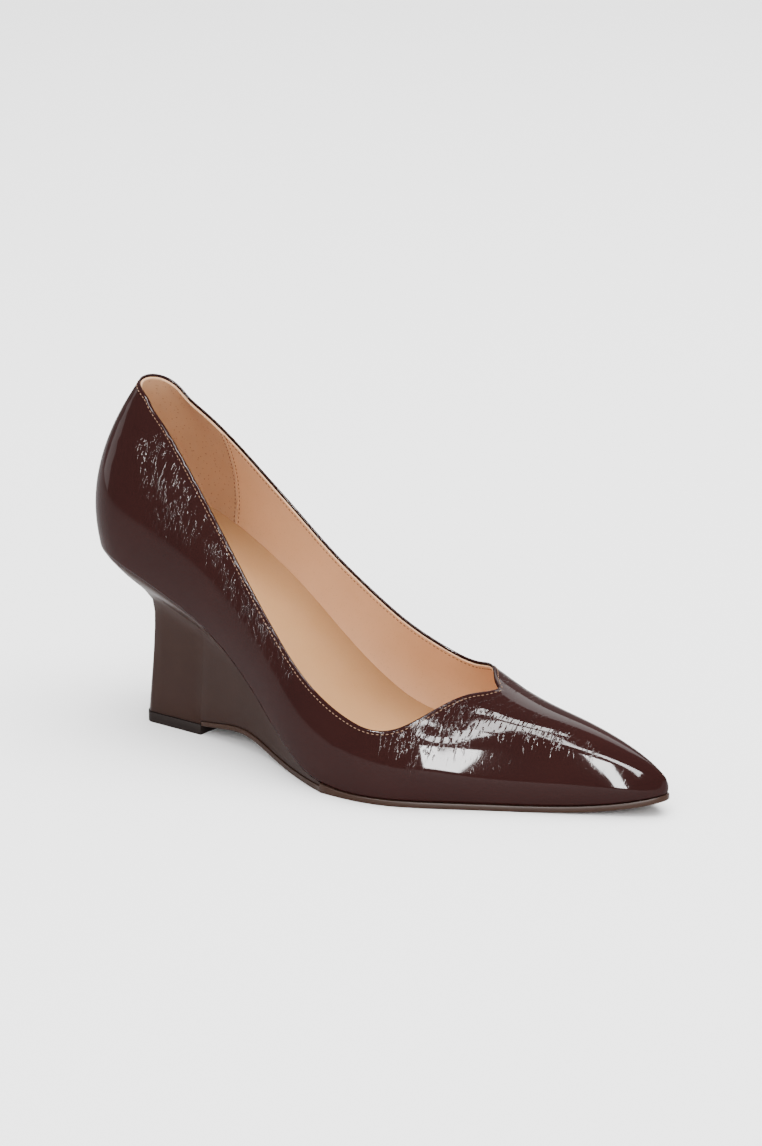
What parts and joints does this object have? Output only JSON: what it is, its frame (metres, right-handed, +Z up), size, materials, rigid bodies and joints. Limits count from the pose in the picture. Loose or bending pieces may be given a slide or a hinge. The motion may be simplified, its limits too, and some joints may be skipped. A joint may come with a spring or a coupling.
{
  "type": "wedge pump",
  "caption": "Women's right shoe: pointed-toe pump with a V throat on a waisted, undercut wedge, in crinkled dark patent leather.",
  "frame": {"origin": "middle of the shoe's bounding box, on the floor that it stands on", "axes": "+X from heel to toe, +Y towards the inner (medial) side, +Z up"},
  "size_m": [0.25, 0.0784, 0.1317],
  "materials": {
    "patent_leather": "glossy crinkled patent, dark chocolate",
    "sock_leather": "soft matte nude lining and sock leather",
    "sole_leather": "smooth sole leather with a stained edge",
    "wedge_leather": "satin leather cover, dark chocolate",
    "heel_rubber": "matte hard rubber"
  },
  "bodies": {
    "root": {"upper": "patent_leather", "insole": "sock_leather", "outsole": "sole_leather", "wedge": "wedge_leather", "top_piece": "heel_rubber"}
  },
  "joints": []
}
